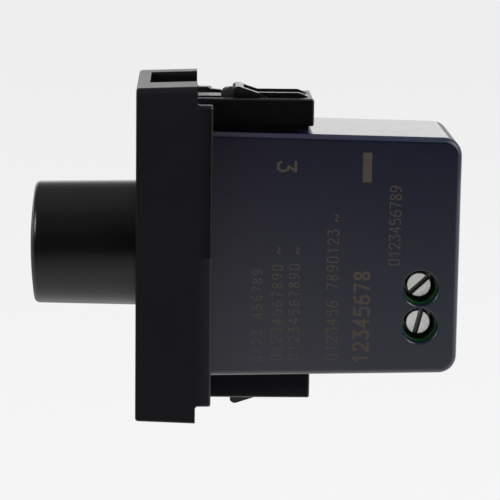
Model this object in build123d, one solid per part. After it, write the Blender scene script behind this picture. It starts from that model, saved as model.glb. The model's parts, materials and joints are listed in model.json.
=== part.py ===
from build123d import *
import math
import os

# One-module rotary dimmer insert, in millimetres.
# +Z is up, the knob points to -Y, the housing runs to +Y, +X is the terminal side.
# The origin is the centre of the flange's rear face, on the knob's axis.

# Flange and collar
module_width = 22.5
module_height = 45.0
flange_front_height = 44.44
flange_depth = 7.93
flange_corner_radius = 0.9
flange_front_radius = 0.4
collar_height = 40.2
collar_depth = 2.05
collar_corner_radius = 0.5
collar_rear_radius = 0.3
step_radius = 0.4

# Release notch over each latch
notch_x = (-7.4, 4.6)
notch_depth = 6.25

# Latch arms behind the flange
arm_half_width = 5.0
arm_wall = 1.1
arm_pocket_x = 10.05
arm_top = 20.3
arm_bottom = 16.72
arm_floor = 0.8
arm_rear = 15.45
arm_edge_radius = 0.3
ledge_rear = 3.25
pad_edge = 3.2

# Latch tongue and tooth
tongue_half_width = 2.3
tooth_half_width = 2.75
groove_x = (-2.0, 1.6)
groove_floor = 20.27
tongue_front = 3.35
tongue_rear = 14.22
tongue_bottom = 19.85
tongue_top = 20.82
tooth_front = 4.78
tooth_height = 21.64
nose_top = 21.37
nose_radius = 1.6
hinge_radius = 0.35
ramp_angle = math.radians(18)

# Housing shell
housing_width = 18.0
housing_front = -4.2
housing_rear = 34.8
housing_front_height = 33.05
housing_rear_height = 31.6
housing_wall = 1.2
housing_rear_wall = 1.4
housing_rear_radius = 2.4
housing_edge_radius = 0.8
housing_gap = 0.1

# Control axis pieces
knob_front_radius = 8.24
knob_rear_radius = 8.45
knob_rim = -21.7
knob_rear = -7.1
knob_dome = 0.55
knob_edge_radius = 0.7
knob_hole_radius = 8.7
shaft_radius = 3.0
shaft_clearance = 0.05
shaft_flat = 1.5
sleeve_radius = 3.5
plate_front = -5.6
case_radius = 6.6
case_front = -3.0
case_rear = 3.0
switch_rear = 12.4

# Circuit board and the parts' side of it
board_x = (-7.2, -6.0)
board_y = (3.6, 32.8)
board_half_height = 14.0

# Terminals: one screw every pitch, screws along X, wires along Y
terminal_pitch = 5.08
terminal_count = 2
terminal_y = 29.75
first_terminal_z = -4.25
terminal_z = [first_terminal_z - n * terminal_pitch for n in range(terminal_count)]
access_radius = 2.42
access_rounding = 0.1
wire_hole_radius = 1.45
wire_funnel_radius = 2.0
wire_x = -0.9
head_radius = 1.68
head_top = 6.5
bar_x = (0.6, 1.4)
clamp_travel = 1.7

# Places of the components on the board
lift = 0.02
lead_reach = 0.4
cap_leads = (6.0, 16.0)
cap_z = 10.1
triac_y = 21.0
triac_pitch = 2.54
triac_lead_z = 8.3
screw_place = (triac_y, -5.6)
choke_x = (-5.6, -0.6)
choke_y = 19.2
choke_z = 0.3
choke_inner = 3.0
choke_outer = 5.0
fuse_x = -2.7
fuse_y = (4.8, 24.8)
fuse_z = -10.6
fuse_radius = 2.5
cap_depth = 5.0

# Slack by which a cutting tool runs past the face it cuts
past = 1.0


def block(x_span, y_span, z_span):
    """Rectangular solid between three pairs of limits."""
    spans = (x_span, y_span, z_span)
    size = [high - low for low, high in spans]
    middle = [(high + low) / 2 for low, high in spans]
    return Pos(*middle) * Box(*size)


def rod_x(radius, x_span, y=0.0, z=0.0):
    """Round bar along X."""
    length = x_span[1] - x_span[0]
    return Pos(sum(x_span) / 2, y, z) * Rot(0, 90, 0) * Cylinder(radius, length)


def rod_y(radius, y_span, x=0.0, z=0.0):
    """Round bar along Y."""
    length = y_span[1] - y_span[0]
    return Pos(x, sum(y_span) / 2, z) * Rot(90, 0, 0) * Cylinder(radius, length)


def ring_y(outer, inner, y_span, x=0.0, z=0.0):
    """Round ring along Y."""
    slack = 1.0
    bore = (y_span[0] - slack, y_span[1] + slack)
    return rod_y(outer, y_span, x, z) - rod_y(inner, bore, x, z)


def side_slab(points, x_span):
    """Outline given as (y, z) points, pulled along X."""
    face = make_face(Plane.YZ * Polyline(*points, close=True))
    return Pos(x_span[0], 0, 0) * extrude(face, x_span[1] - x_span[0], dir=(1, 0, 0))


def upright(solid):
    """Solid kept as it is for the upper side."""
    return solid


def mirrored(solid):
    """Solid mirrored for the lower side."""
    return mirror(solid, Plane.XY)


# Front bezel

def flange_block():
    """Flange with drafted top and bottom and rounded corners."""
    front = Plane.XZ.offset(flange_depth) * RectangleRounded(
        module_width, flange_front_height, flange_corner_radius)
    rear = Plane.XZ * RectangleRounded(module_width, module_height, flange_corner_radius)
    body = loft([front, rear], ruled=True)
    return fillet(body.edges().group_by(Axis.Y)[0], flange_front_radius)


def collar_block():
    """Lower step behind the flange, that passes through the support frame."""
    inset = 1.0
    outline = Plane.XZ.offset(inset) * RectangleRounded(
        module_width, collar_height, collar_corner_radius)
    collar = extrude(outline, -(collar_depth + inset))
    return fillet(collar.edges().group_by(Axis.Y)[-1], collar_rear_radius)


def step_blend():
    """Hollow radius where the collar's top meets the flange's rear face."""
    base = collar_height / 2
    outline = Plane.YZ * (
        Line((-0.2, base - 0.2), (-0.2, base + step_radius))
        + Line((-0.2, base + step_radius), (0, base + step_radius))
        + RadiusArc((0, base + step_radius), (step_radius, base), -step_radius)
        + Line((step_radius, base), (step_radius, base - 0.2))
        + Line((step_radius, base - 0.2), (-0.2, base - 0.2)))
    reach = module_width / 2 - collar_corner_radius
    return Pos(-reach, 0, 0) * extrude(make_face(outline), 2 * reach, dir=(1, 0, 0))


def arm_solid():
    """Upper latch arm: an open-topped trough that guards the tongue."""
    outer = block((-arm_half_width, arm_half_width), (0, arm_rear), (arm_bottom, arm_top))
    outer = fillet(outer.edges().filter_by(Axis.Y).group_by(Axis.Z)[-1], arm_edge_radius)
    outer = fillet(outer.edges().group_by(Axis.Y)[-1], arm_edge_radius)
    inner = arm_half_width - arm_wall
    trough = block((-inner, inner), (ledge_rear, arm_rear - arm_wall),
                   (arm_bottom + arm_floor, module_height))
    over_ledge = block((-inner, inner), (-1, ledge_rear + 1), (collar_height / 2, module_height))
    return outer - trough - over_ledge


def arm_cheek():
    """Low cheek on the far side of the ledge, that falls away from the flange."""
    near_face = -arm_half_width + arm_wall
    steps = [(0, 20.75), (1.5, 20.75), (1.9, 20.5), (ledge_rear, 20.38)]
    base = collar_height / 2 - 0.5
    outline = [(0, base), *steps, (ledge_rear, base)]
    return side_slab(outline, (-arm_half_width + 0.2, near_face))


def arm_ledge():
    """Flat pad beside the tongue's tip, on which a blade rests."""
    pad_top = 20.45
    return block((-0.1, pad_edge), (0, ledge_rear), (collar_height / 2 - 0.5, pad_top))


def arm_slot():
    """Narrow slot between the pad and the arm's near wall."""
    slot_floor = 19.3
    slot_x = (pad_edge, arm_half_width - arm_wall)
    return block(slot_x, (0, ledge_rear + past), (slot_floor, arm_top + past))


def arm_end_slope():
    """Small ramp on the trough's rear wall, in line with the tongue and its groove."""
    slope_top = 20.5
    slope_low = 20.25
    front = arm_rear - arm_wall
    slope_rear = 15.0
    outline = [(front, arm_top - 1), (front, slope_top), (slope_rear, slope_low), (slope_rear, arm_top - 1)]
    ramp = side_slab(outline, (-tongue_half_width, tongue_half_width))
    return ramp - block(groove_x, (front - past, slope_rear + past), (arm_top - 0.2, module_height))


def notch_cut():
    """Pocket in the flange that lets a blade reach the tongue."""
    return block(notch_x, (-notch_depth, step_radius), (collar_height / 2, module_height))


def core_cuts():
    """Pockets in the collar on both sides of the arm, open to the rear, with a bay open to the side."""
    deep_z = (17.75, 18.85)
    deep_y = (-6.3, collar_depth + 1)
    bay_y = (0, collar_depth + 1)
    cuts = []
    for side in (-1, 1):
        cuts.append(block(sorted((side * 5.9, side * arm_pocket_x)), deep_y, deep_z))
        bay_x = sorted((side * arm_half_width, side * arm_pocket_x))
        cuts.append(block(bay_x, bay_y, (deep_z[0], module_height)))
    return cuts


def lug_boxes(depth, slack):
    """Four snap lugs on the housing's flanks, or the windows that take them."""
    lug_y = (-3.3, -1.7)
    lug_z = (7.0, 11.0)
    face = housing_width / 2 - 0.2
    boxes = []
    for side in (-1, 1):
        for up in (-1, 1):
            x_span = sorted((side * face, side * (face + 0.2 + depth)))
            z_span = sorted((up * (lug_z[0] - slack), up * (lug_z[1] + slack)))
            boxes.append(block(x_span, (lug_y[0] - slack, lug_y[1] + slack), z_span))
    return boxes


def front_bezel():
    """Flange, collar and both latch arms in one moulding."""
    body = flange_block() + collar_block()
    cavity_width = housing_width + 2 * housing_gap
    cavity_height = housing_front_height + 2 * housing_gap
    outline = Plane.XZ.offset(-plate_front) * RectangleRounded(
        cavity_width, cavity_height, housing_edge_radius)
    body -= extrude(outline, plate_front - collar_depth - 1)
    body -= rod_y(knob_hole_radius, (-flange_depth - 1, plate_front + 1))
    for place in (upright, mirrored):
        body += place(step_blend())
        body -= place(notch_cut())
        for cut in core_cuts():
            body -= place(cut)
        body += place(arm_solid())
        body += place(arm_cheek())
        body += place(arm_ledge())
        body -= place(arm_slot())
        body += place(arm_end_slope())
    for window in lug_boxes(depth=0.6, slack=0.1):
        body -= window
    return body


# Snap latches

def latch_nose():
    """Domed tip in front of the tooth, that a blade presses."""
    crown = tooth_front - 0.15
    run = crown - tongue_front
    front_top = nose_top - nose_radius + math.sqrt(nose_radius ** 2 - run ** 2)
    rear = tooth_front + 0.3
    outline = Plane.YZ * (
        Line((tongue_front, tongue_bottom), (tongue_front, front_top))
        + RadiusArc((tongue_front, front_top), (crown, nose_top), nose_radius)
        + Line((crown, nose_top), (rear, nose_top))
        + Line((rear, nose_top), (rear, tongue_bottom))
        + Line((rear, tongue_bottom), (tongue_front, tongue_bottom)))
    bar = extrude(make_face(outline), 2 * tongue_half_width, dir=(1, 0, 0))
    barrel_radius = 2.6
    barrel = rod_y(barrel_radius, (tongue_front - past, rear + past), 0, nose_top - barrel_radius)
    return Pos(-tongue_half_width, 0, 0) * bar & barrel


def latch_tooth(ramp_end):
    """Wedge tooth with a steep catch face and a rounded crest."""
    crest_radius = 0.75
    crest_y = 5.43
    crest_z = tooth_height - crest_radius
    catch_rise = math.sqrt(crest_radius ** 2 - (crest_y - tooth_front) ** 2)
    ramp_start = (crest_y + crest_radius * math.sin(ramp_angle),
                  crest_z + crest_radius * math.cos(ramp_angle))
    heel_run = 1.8
    heel = (ramp_end[0] + heel_run, tongue_bottom)
    outline = Plane.YZ * (
        Line((tooth_front, tongue_bottom), (tooth_front, crest_z + catch_rise))
        + ThreePointArc((tooth_front, crest_z + catch_rise), (crest_y, tooth_height), ramp_start)
        + Line(ramp_start, ramp_end)
        + Line(ramp_end, heel)
        + Line(heel, (tooth_front, tongue_bottom)))
    return Pos(-tooth_half_width, 0, 0) * extrude(make_face(outline), 2 * tooth_half_width, dir=(1, 0, 0))


def latch_solid():
    """Upper spring tongue with its domed tip, wedge tooth, groove and rounded root."""
    ramp_end = (8.06, tongue_top)
    slope_start = 13.5
    slope_fall = 0.27
    lap = ramp_end[0] - 1.0
    hinge = (tongue_rear - hinge_radius, tongue_bottom + hinge_radius)
    on_arc = hinge_radius * math.sqrt(0.5)
    tongue_line = Plane.YZ * (
        Line((lap, tongue_bottom), (lap, tongue_top))
        + Line((lap, tongue_top), (slope_start, tongue_top))
        + Line((slope_start, tongue_top), (tongue_rear, tongue_top - slope_fall))
        + Line((tongue_rear, tongue_top - slope_fall), (tongue_rear, hinge[1]))
        + ThreePointArc((tongue_rear, hinge[1]), (hinge[0] + on_arc, hinge[1] - on_arc), (hinge[0], tongue_bottom))
        + Line((hinge[0], tongue_bottom), (lap, tongue_bottom)))
    tongue = extrude(make_face(tongue_line), 2 * tongue_half_width, dir=(1, 0, 0))
    tongue = Pos(-tongue_half_width, 0, 0) * tongue
    groove_front = 6.2
    groove = block(groove_x, (groove_front, tongue_rear + past), (groove_floor, module_height))
    return latch_nose() + latch_tooth(ramp_end) + tongue - groove


# Rear housing

def housing_outline(inset_side, inset_rear, corner):
    """Side view of the housing as a face in the YZ plane, drafted and rounded at the rear."""
    front_half = housing_front_height / 2 - inset_side
    rear_half = housing_rear_height / 2 - inset_side
    rear = housing_rear - inset_rear
    face = make_face(Plane.YZ * Polyline(
        (housing_front, -front_half), (housing_front, front_half),
        (rear, rear_half), (rear, -rear_half), close=True))
    return fillet(face.vertices().group_by(Axis.Y)[-1], corner)


def housing_half_height(y):
    """Outer half height of the drafted housing at a place along Y."""
    share = (y - housing_front) / (housing_rear - housing_front)
    return (housing_front_height + (housing_rear_height - housing_front_height) * share) / 2


def pulled_outline(face, half_width):
    """Side face pulled along X, evenly both ways."""
    return Pos(-half_width, 0, 0) * extrude(face, 2 * half_width, dir=(1, 0, 0))


def rear_housing():
    """Open-fronted shell with screwdriver holes, wire holes and board rails."""
    half = housing_width / 2
    body = pulled_outline(housing_outline(0, 0, housing_rear_radius), half)
    ends = body.faces().filter_by(Axis.X)
    rim = [edge for face in ends for edge in face.edges() if edge.center().Y > housing_front + 0.5]
    body = fillet(rim, housing_edge_radius)
    hollow = housing_outline(housing_wall, housing_rear_wall, housing_rear_radius - housing_wall)
    body -= pulled_outline(hollow, half - housing_wall)
    for z in terminal_z:
        body -= rod_x(access_radius, (half - housing_wall - past, half + past), terminal_y, z)
        body -= rod_y(wire_hole_radius, (housing_rear - housing_rear_wall - past, housing_rear + past), wire_x, z)
    mouths = body.edges().filter_by(GeomType.CIRCLE).group_by(Axis.X)[-1]
    body = fillet([edge for edge in mouths if abs(edge.radius - access_radius) < 0.01], access_rounding)
    pad_half_width = 4.2
    pad_y = (2.2, 14.8)
    pad_top = arm_bottom - 0.02
    sunk = 0.6
    pad = block((-pad_half_width, pad_half_width), pad_y, (housing_half_height(pad_y[0]) - sunk, pad_top))
    rail_x = (board_x[1] + 0.05, board_x[1] + 0.85)
    rail_y = (4.5, 30.0)
    rail_foot = board_half_height - 0.5
    rail_top = housing_half_height(rail_y[1]) - housing_wall + 0.4
    rail = block(rail_x, rail_y, (rail_foot, rail_top))
    for place in (upright, mirrored):
        body += place(pad)
        body += place(rail)
    for lug in lug_boxes(depth=0.45, slack=0.0):
        body += lug
    return body


def inner_plate():
    """Plate that closes the housing's front and carries the control."""
    play = 0.15
    outline = Plane.XZ.offset(-plate_front - 0.02) * RectangleRounded(
        housing_width - 2 * play, housing_front_height - 2 * play, housing_edge_radius)
    plate = extrude(outline, -(housing_front - plate_front - 0.04))
    plate -= rod_y(sleeve_radius + 0.05, (plate_front - past, housing_front + past))
    tab_slot = block((-0.9, 0.9), (plate_front - past, housing_front + past), (5.6, 6.8))
    return plate - tab_slot


# Knob and control

def knob():
    """Hollow push-and-turn knob with a domed front, hub, D bore and ribs."""
    wall = 1.4
    front_wall = 1.5
    rim_inner = knob_rear_radius - wall
    inner_front = knob_rim + front_wall
    front_inner = knob_front_radius - wall
    edge = knob_edge_radius
    on_arc = edge * math.sqrt(0.5)
    apex = knob_rim - knob_dome
    flank = knob_front_radius
    dome_half = flank - edge
    dome_radius = (dome_half ** 2 + knob_dome ** 2) / (2 * knob_dome)
    dome_middle = (dome_half / 2, apex + dome_radius - math.sqrt(dome_radius ** 2 - dome_half ** 2 / 4))
    outline = Plane.XY * (
        ThreePointArc((0, apex), dome_middle, (dome_half, knob_rim))
        + ThreePointArc((dome_half, knob_rim), (dome_half + on_arc, knob_rim + edge - on_arc),
                        (flank, knob_rim + edge))
        + Line((flank, knob_rim + edge), (knob_rear_radius, knob_rear))
        + Line((knob_rear_radius, knob_rear), (rim_inner, knob_rear))
        + Line((rim_inner, knob_rear), (front_inner, inner_front))
        + Line((front_inner, inner_front), (0, inner_front))
        + Line((0, inner_front), (0, apex)))
    shell = revolve(make_face(outline), Axis.Y)
    hub_radius = 4.4
    hub_rear = -11.2
    hub = rod_y(hub_radius, (inner_front - 0.3, hub_rear))
    body = shell + hub
    rib_count = 6
    half_rib = 0.4
    rib_rear = -12.0
    rib = block((hub_radius - 0.5, front_inner + 0.3), (inner_front - 0.3, rib_rear), (-half_rib, half_rib))
    first_rib = 30
    for n in range(rib_count):
        body += Rot(0, n * 360 / rib_count + first_rib, 0) * rib
    grip = 0.03
    bore_end = -18.6
    return body - d_bar(shaft_radius + grip, shaft_flat + grip, (bore_end, hub_rear + past))


def d_bar(radius, flat, y_span):
    """Round bar along Y with one flat at +X."""
    cut = block((flat, radius + past), (y_span[0] - past, y_span[1] + past), (-radius - past, radius + past))
    return rod_y(radius, y_span) - cut


def control_shaft():
    """Shaft with a flat for the knob, a flat for the rotor and a stop shoulder."""
    tip = -18.4
    knob_flat_end = -10.6
    rotor_flat = (-4.4, 0.2)
    shoulder_radius = 3.9
    rear = 4.6
    tip_chamfer = 0.3
    body = d_bar(shaft_radius, shaft_flat, (tip, knob_flat_end))
    body += rod_y(shaft_radius, (knob_flat_end, rotor_flat[0]))
    body += d_bar(shaft_radius, shaft_flat, rotor_flat)
    body += rod_y(shaft_radius, (rotor_flat[1], case_rear + 0.5))
    body += rod_y(shoulder_radius, (case_rear + 0.02, rear))
    return chamfer(body.edges().group_by(Axis.Y)[0], tip_chamfer)


def mounting_bush():
    """Sleeve with its mounting flange, that carries the shaft."""
    sleeve_front = -9.6
    tip_chamfer = 0.3
    body = rod_y(case_radius, (housing_front, case_front))
    body += rod_y(sleeve_radius, (sleeve_front, housing_front))
    body = chamfer(body.edges().group_by(Axis.Y)[0], tip_chamfer)
    turn_tab = block((-0.8, 0.8), (plate_front + 0.4, housing_front + 0.5), (5.7, 6.5))
    return body + turn_tab - rod_y(shaft_radius + shaft_clearance, (sleeve_front - past, case_front + past))


def lock_washer():
    """Internal-tooth washer under the nut."""
    thickness = 0.5
    outer = 5.4
    tooth_count = 8
    gap_depth = 4.4
    half_gap = 0.4
    washer = ring_y(outer, sleeve_radius + 0.05, (plate_front - thickness, plate_front - 0.02))
    slot = block((sleeve_radius - 0.5, gap_depth), (plate_front - thickness - past, plate_front + past),
                 (-half_gap, half_gap))
    for n in range(tooth_count):
        washer -= Rot(0, n * 360 / tooth_count, 0) * slot
    return washer


def panel_nut():
    """Hexagonal nut that clamps the bush to the inner plate."""
    across_flats = 10.0
    height = 2.0
    washer_thickness = 0.5
    front = plate_front - washer_thickness - height
    outline = Plane.XZ.offset(-front) * RegularPolygon(across_flats / 2, 6, major_radius=False)
    nut = extrude(outline, -height)
    return nut - rod_y(sleeve_radius + 0.02, (front - past, front + height + past))


def control_case():
    """Round case of the rotary control, closed at the rear."""
    wall = 0.8
    rear_wall = 1.2
    body = rod_y(case_radius, (case_front, case_rear))
    body -= rod_y(case_radius - wall, (case_front - past, case_rear - rear_wall))
    body -= rod_y(shaft_radius + 0.1, (case_front, case_rear + past))
    slot_x = (-6.0, -4.85)
    half_slot = 0.55
    for z in pin_z():
        body -= block(slot_x, (case_rear - rear_wall - 0.1, case_rear + past), (z - half_slot, z + half_slot))
    return body


def pin_z():
    """Places of the track's three pins along Z."""
    spacing = 2.5
    return [-spacing, 0.0, spacing]


def track_disc():
    """Disc that carries the resistive track."""
    disc_y = (1.0, 1.8)
    track_y = (0.92, 1.0)
    half_gap = 1.2
    disc = ring_y(5.75, 3.2, disc_y)
    track = ring_y(5.3, 4.1, track_y)
    gap = block((0, case_radius), (0, disc_y[0]), (-half_gap, half_gap))
    return disc + (track - gap)


def track_pins():
    """Three pins from the disc to the board."""
    half = 0.45
    pins = []
    for z in pin_z():
        span = (z - half, z + half)
        pin = block((-5.93, -4.95), (1.82, 2.1), span)
        pin += block((-5.93, -5.55), (2.0, 5.6), span)
        pin += block((-7.5, -5.55), (5.2, 5.6), span)
        pins.append(pin)
    return pins


def wiper_rotor():
    """Rotor with a D bore that the shaft turns and slides through."""
    y_span = (-2.6, -0.8)
    groove_depth = 0.6
    bore_y = (y_span[0] - past, y_span[1] + past)
    body = rod_y(5.2, y_span)
    body -= d_bar(shaft_radius + shaft_clearance, shaft_flat + shaft_clearance, bore_y)
    groove = ring_y(4.9, 4.0, (y_span[0] - past, y_span[0] + groove_depth))
    return body - groove


def wiper_contact():
    """Sprung metal contact that rides on the track."""
    base = ring_y(4.9, 3.5, (-0.78, -0.58))
    finger = side_slab([(-0.6, 1.6), (-0.6, 1.2), (0.7, -1.0), (0.9, -1.0), (0.9, -0.7)], (4.3, 5.0))
    mirrored_finger = mirror(finger, Plane.YZ)
    return base + finger + mirrored_finger


# Mains switch behind the control

def switch_case():
    """Square case of the push switch, with slots for its contacts."""
    half_width = 5.4
    half_height = 6.4
    wall = 0.9
    corner = 0.8
    slot_y = (7.95, 8.45)
    slot_z = (4.35, 5.25)
    body = block((-half_width, half_width), (case_rear, switch_rear), (-half_height, half_height))
    body = fillet(body.edges().filter_by(Axis.Y), corner)
    body -= block((wall - half_width, half_width - wall), (case_rear - past, switch_rear - wall),
                  (wall - half_height, half_height - wall))
    for side in (-1, 1):
        z_span = sorted(side * z for z in slot_z)
        body -= block((-half_width - past, wall - half_width + 0.1), slot_y, z_span)
    return body


def switch_plunger():
    """Plunger that the shaft pushes, with a stem through the spring."""
    disc_radius = 3.9
    disc_y = (4.62, 5.8)
    stem_radius = 1.3
    stem_end = 10.0
    tip_chamfer = 0.3
    body = rod_y(disc_radius, disc_y) + rod_y(stem_radius, (disc_y[1] - 0.1, stem_end))
    return chamfer(body.edges().group_by(Axis.Y)[-1], tip_chamfer)


def contact_bridge():
    """Bridge on the plunger that joins the two fixed contacts."""
    y_span = (5.82, 6.12)
    ear_z = (3.3, 5.2)
    half_ear = 1.2
    rivet_radius = 0.7
    rivet_y = (y_span[1] - 0.1, 6.5)
    rivet_z = 4.5
    plate = ring_y(3.7, 2.75, y_span)
    for side in (-1, 1):
        z_span = sorted(side * z for z in ear_z)
        plate += block((-half_ear, half_ear), y_span, z_span)
        plate += rod_y(rivet_radius, rivet_y, 0, side * rivet_z)
    return plate


def fixed_contacts():
    """Two fixed contacts with their leads to the board."""
    strip_y = (8.0, 8.4)
    pad_x = (-4.0, 1.5)
    pad_z = (3.9, 5.45)
    lead_x = (board_x[0] - lead_reach, pad_x[0] + 0.1)
    lead_z = (4.4, 5.2)
    rivet_radius = 0.7
    rivet_y = (7.78, 8.1)
    rivet_z = 4.65
    contacts = []
    for side in (-1, 1):
        contact = block(pad_x, strip_y, sorted(side * z for z in pad_z))
        contact += block(lead_x, strip_y, sorted(side * z for z in lead_z))
        contact += rod_y(rivet_radius, rivet_y, 0, side * rivet_z)
        contacts.append(contact)
    return contacts


def return_spring():
    """Coil spring that lifts the plunger and the knob."""
    wire_radius = 0.2
    coil_radius = 2.15
    seat_y = (5.82, 11.48)
    first = seat_y[0] + wire_radius
    last = seat_y[1] - wire_radius
    turns = 5
    coil = Helix(pitch=(last - first) / turns, height=last - first, radius=coil_radius)
    section = Plane(origin=coil @ 0, z_dir=coil % 0) * Circle(wire_radius)
    wire = sweep(section, path=coil)
    return Pos(0, first, 0) * Rot(-90, 0, 0) * wire


# Circuit board and its components

def board_drills():
    """Lead holes of the board as (y, z, half size) in one list."""
    pin_y = 5.4
    contact_place = (8.2, 4.8)
    terminal_lead_y = 27.5
    drills = [(pin_y, z, 0.55) for z in pin_z()]
    drills += [(contact_place[0], side * contact_place[1], 0.55) for side in (-1, 1)]
    drills += [(terminal_lead_y, z, 0.7) for z in terminal_z]
    drills += [(y, cap_z, 0.4) for y in cap_leads]
    drills += [(triac_lead_y(n), triac_lead_z, 0.5) for n in range(3)]
    return drills


def circuit_board():
    """Board with a hole for each lead."""
    body = block(board_x, board_y, (-board_half_height, board_half_height))
    for y, z, half in board_drills():
        body -= block((board_x[0] - past, board_x[1] + past), (y - half, y + half), (z - half, z + half))
    return body


def triac_lead_y(n):
    """Place of one of the triac's three leads along Y."""
    return triac_y + (n - 1) * triac_pitch


def board_lead(y, z, top, half=0.3):
    """Square lead from a component down through the board."""
    return block((board_x[0] - lead_reach, top), (y - half, y + half), (z - half, z + half))


def film_capacitor():
    """Boxed suppression capacitor."""
    foot = board_x[1] + 0.3
    top = 4.8
    y_span = (4.6, 17.4)
    half_thickness = 2.5
    body = block((foot, top), y_span, (cap_z - half_thickness, cap_z + half_thickness))
    body = fillet(body.edges().group_by(Axis.X)[-1], 0.5)
    for y in cap_leads:
        body += board_lead(y, cap_z, board_x[1] + 0.5)
    return body


def timing_capacitor():
    """Small boxed capacitor of the firing circuit."""
    body = block((board_x[1] + lift, 0.2), (27.0, 32.0), (0.8, 3.6))
    return fillet(body.edges().group_by(Axis.X)[-1], 0.4)


def axial_part(radius, length, y, z, rise):
    """Axial component lying along Z, with its two bent leads."""
    lead = 0.25
    lead_run = 1.3
    x = board_x[1] + rise
    reach = length / 2 + lead_run
    body = Pos(x, y, z) * Cylinder(radius, length)
    body += block((x - lead, x + lead), (y - lead, y + lead), (z - reach, z + reach))
    for side in (-1, 1):
        z_span = sorted((z + side * reach, z + side * (reach - 2 * lead)))
        body += block((board_x[1] + lift, x), (y - lead, y + lead), z_span)
    return body


def resistors():
    """Three resistors in a row."""
    places = (27.2, 29.4, 31.6)
    return [axial_part(radius=0.85, length=3.6, y=y, z=9.6, rise=1.8) for y in places]


def diac():
    """Trigger diode beside the triac."""
    return axial_part(radius=0.8, length=3.2, y=24.6, z=10.6, rise=1.6)


def heat_sink():
    """Aluminium plate beside the housing's wall, with a folded edge and the screw's hole."""
    x_span = (6.1, 7.3)
    y_span = (5.6, 25.6)
    half_height = 13.4
    fold_x = 3.6
    fold_y = 18.0
    metal = 1.0
    hole_radius = 1.5
    plate = block(x_span, y_span, (-half_height, half_height))
    fold = block((fold_x, x_span[0] + 0.1), (fold_y, y_span[1]), (half_height - metal, half_height))
    hole = rod_x(hole_radius, (x_span[0] - past, x_span[1] + past), screw_place[0], screw_place[1])
    return plate + fold - hole


def heat_sink_screw():
    """Screw that holds the triac's tab to the heat sink."""
    y, z = screw_place
    head_x = (2.9, 4.75)
    screw_head_radius = 2.6
    shank_radius = 1.47
    tip = 7.2
    slot_floor = 3.6
    half_slot = 0.3
    head = rod_x(screw_head_radius, head_x, y, z)
    head = fillet(head.edges().group_by(Axis.X)[0], 0.5)
    shank = rod_x(shank_radius, (head_x[1] - 0.05, tip), y, z)
    slot = block((head_x[0] - past, slot_floor), (y - half_slot, y + half_slot), (z - 3, z + 3))
    return head + shank - slot


def triac():
    """Power switch with its metal tab and three bent leads."""
    y_span = (triac_y - 5, triac_y + 5)
    body_x = (1.6, 6.0)
    body_z = (-2.4, 6.4)
    tab_x = (4.78, 6.08)
    tab_z = (-8.6, 6.0)
    tab_hole_radius = 1.6
    lead_x = (3.0, 3.5)
    half_lead = 0.35
    lead_z = (triac_lead_z - 0.25, triac_lead_z + 0.25)
    body = block(body_x, y_span, body_z)
    body = chamfer(body.edges().group_by(Axis.X)[0], 0.4)
    body += block(tab_x, y_span, tab_z)
    body -= rod_x(tab_hole_radius, (tab_x[0] - past, tab_x[1] + past), screw_place[0], screw_place[1])
    for n in range(3):
        y = triac_lead_y(n)
        lead_y = (y - half_lead, y + half_lead)
        body += block(lead_x, lead_y, (tab_z[1], lead_z[1]))
        body += block((board_x[0] - lead_reach, lead_x[1]), lead_y, lead_z)
    return body


def insulating_sheet():
    """Sheet between the heat sink and the housing's wall."""
    return block((7.34, 7.7), (4.9, 26.2), (-13.8, 13.8))


def choke_core():
    """Ring core of the interference choke, flat on the board."""
    outer = rod_x(choke_outer, choke_x, choke_y, choke_z)
    return outer - rod_x(choke_inner, (choke_x[0] - past, choke_x[1] + past), choke_y, choke_z)


def choke_winding():
    """Turns round the ring core, each a separate loop of flattened wire."""
    turn_count = 12
    wire = 0.8
    under_wire = 0.32
    gap = 0.05
    first_angle = 40
    sweep_angle = 280
    x_span = (choke_x[0] - gap, choke_x[1] + gap)
    y_span = (choke_inner - gap, choke_outer + gap)
    turns = []
    for n in range(turn_count):
        angle = first_angle + n * sweep_angle / (turn_count - 1)
        turn = block((x_span[0] - under_wire, x_span[1] + wire), (y_span[0] - wire, y_span[1] + wire),
                     (-wire / 2, wire / 2))
        turn -= block(x_span, y_span, (-wire, wire))
        turns.append(Pos(0, choke_y, choke_z) * Rot(angle, 0, 0) * turn)
    return turns


def fuse_tube():
    """Glass tube of the fuse."""
    cap_wall = 0.25
    glass_wall = 0.55
    outer = fuse_radius - cap_wall
    return ring_y(outer, outer - glass_wall, (fuse_y[0] + 1, fuse_y[1] - 1), fuse_x, fuse_z)


def fuse_caps():
    """Metal end caps with the fuse wire between them."""
    wall = 0.23
    end = 0.9
    wire_radius = 0.15
    ends = (fuse_y[0] + end, fuse_y[1] - end)
    mouths = (fuse_y[0] + cap_depth, fuse_y[1] - cap_depth)
    caps = rod_y(fuse_radius, fuse_y, fuse_x, fuse_z)
    caps -= rod_y(fuse_radius - wall, ends, fuse_x, fuse_z)
    caps -= ring_y(fuse_radius + past, fuse_radius - past, mouths, fuse_x, fuse_z)
    return caps + rod_y(wire_radius, (ends[0] - end / 2, ends[1] + end / 2), fuse_x, fuse_z)


def fuse_clips():
    """Two sprung clips that hold the fuse to the board."""
    width = 3.4
    from_end = 2.4
    metal = 0.4
    lips = fuse_x + 1.2
    half_base = 1.4
    inner = fuse_radius + 0.02
    reach = inner + metal + past
    clips = []
    for y in (fuse_y[0] + from_end, fuse_y[1] - from_end):
        y_span = (y - width / 2, y + width / 2)
        clip = ring_y(inner + metal, inner, y_span, fuse_x, fuse_z)
        clip -= block((lips, fuse_x + reach), (y - width, y + width), (fuse_z - reach, fuse_z + reach))
        base = block((board_x[1] + lift, fuse_x - inner - 0.1), y_span, (fuse_z - half_base, fuse_z + half_base))
        clips.append(clip + base)
    return clips


# Terminals

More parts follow.
